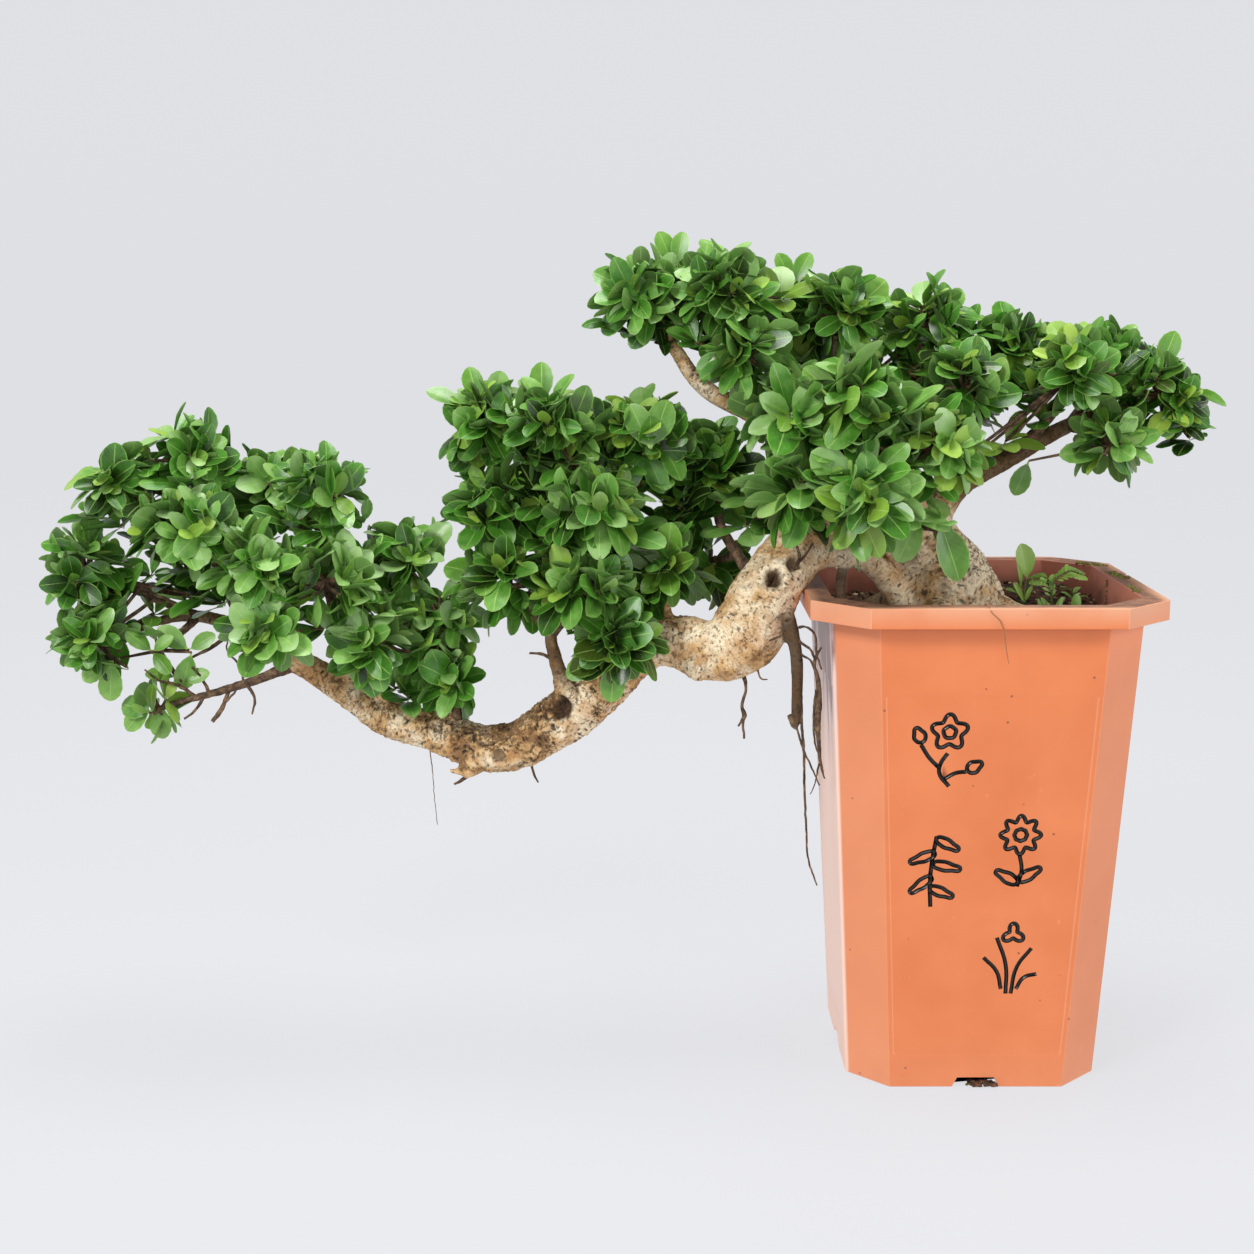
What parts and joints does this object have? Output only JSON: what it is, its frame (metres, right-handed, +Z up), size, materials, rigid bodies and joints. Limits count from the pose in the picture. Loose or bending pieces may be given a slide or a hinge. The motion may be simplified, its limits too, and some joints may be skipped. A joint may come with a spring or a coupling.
{
  "type": "cascade ficus bonsai in a tall pot",
  "caption": "Ficus bonsai trained as a cascade: a thick pale trunk arches over the rim of a tall square pot and carries tiers of small leathery leaves out to one side.",
  "frame": {"origin": "on the surface that the pot stands on, under the middle of the whole plant's length and depth", "axes": "+Z up; +X from the hanging end of the tree towards the pot, along the plant's length; +Y away from the side that faces the viewer"},
  "size_m": [0.9778, 0.2905, 0.6717],
  "materials": {
    "pot_shell": "satin",
    "soil": "matte",
    "bark": "matte",
    "leaves": "satin",
    "weeds": "satin"
  },
  "bodies": {
    "root": {"pot": "pot_shell", "soil": "soil", "trunk": "bark", "crown_left_1": "leaves", "crown_left_2": "leaves", "crown_left_3": "leaves", "crown_left_4": "leaves", "crown_left_5": "leaves", "crown_top_1": "leaves", "crown_top_2": "leaves", "crown_top_3": "leaves", "right_tier_1": "leaves", "right_tier_2": "leaves", "right_tier_3": "leaves", "right_tier_4": "leaves", "front_tier_1": "leaves", "front_tier_2": "leaves", "front_tier_3": "leaves", "front_tier_4": "leaves", "front_tier_5": "leaves", "front_tier_6": "leaves", "back_tier_1": "leaves", "back_tier_2": "leaves", "middle_tier_1": "leaves", "middle_tier_2": "leaves", "middle_tier_3": "leaves", "middle_tier_4": "leaves", "middle_tier_5": "leaves", "middle_tier_6": "leaves", "middle_tier_7": "leaves", "middle_tier_8": "leaves", "middle_tier_9": "leaves", "middle_tier_10": "leaves", "middle_tier_11": "leaves", "middle_tier_12": "leaves", "end_tier_1": "leaves", "end_tier_2": "leaves", "end_tier_3": "leaves", "end_tier_4": "leaves", "end_tier_5": "leaves", "end_tier_6": "leaves", "end_tier_7": "leaves", "end_tier_8": "leaves", "end_tier_9": "leaves", "end_tier_10": "leaves", "end_tier_11": "leaves", "end_tier_12": "leaves", "end_tier_13": "leaves", "end_tier_14": "leaves", "end_tier_15": "leaves", "end_tier_16": "leaves", "end_tier_17": "leaves", "seedling": "weeds", "weed_tuft_1": "weeds", "weed_tuft_2": "weeds"}
  },
  "joints": []
}
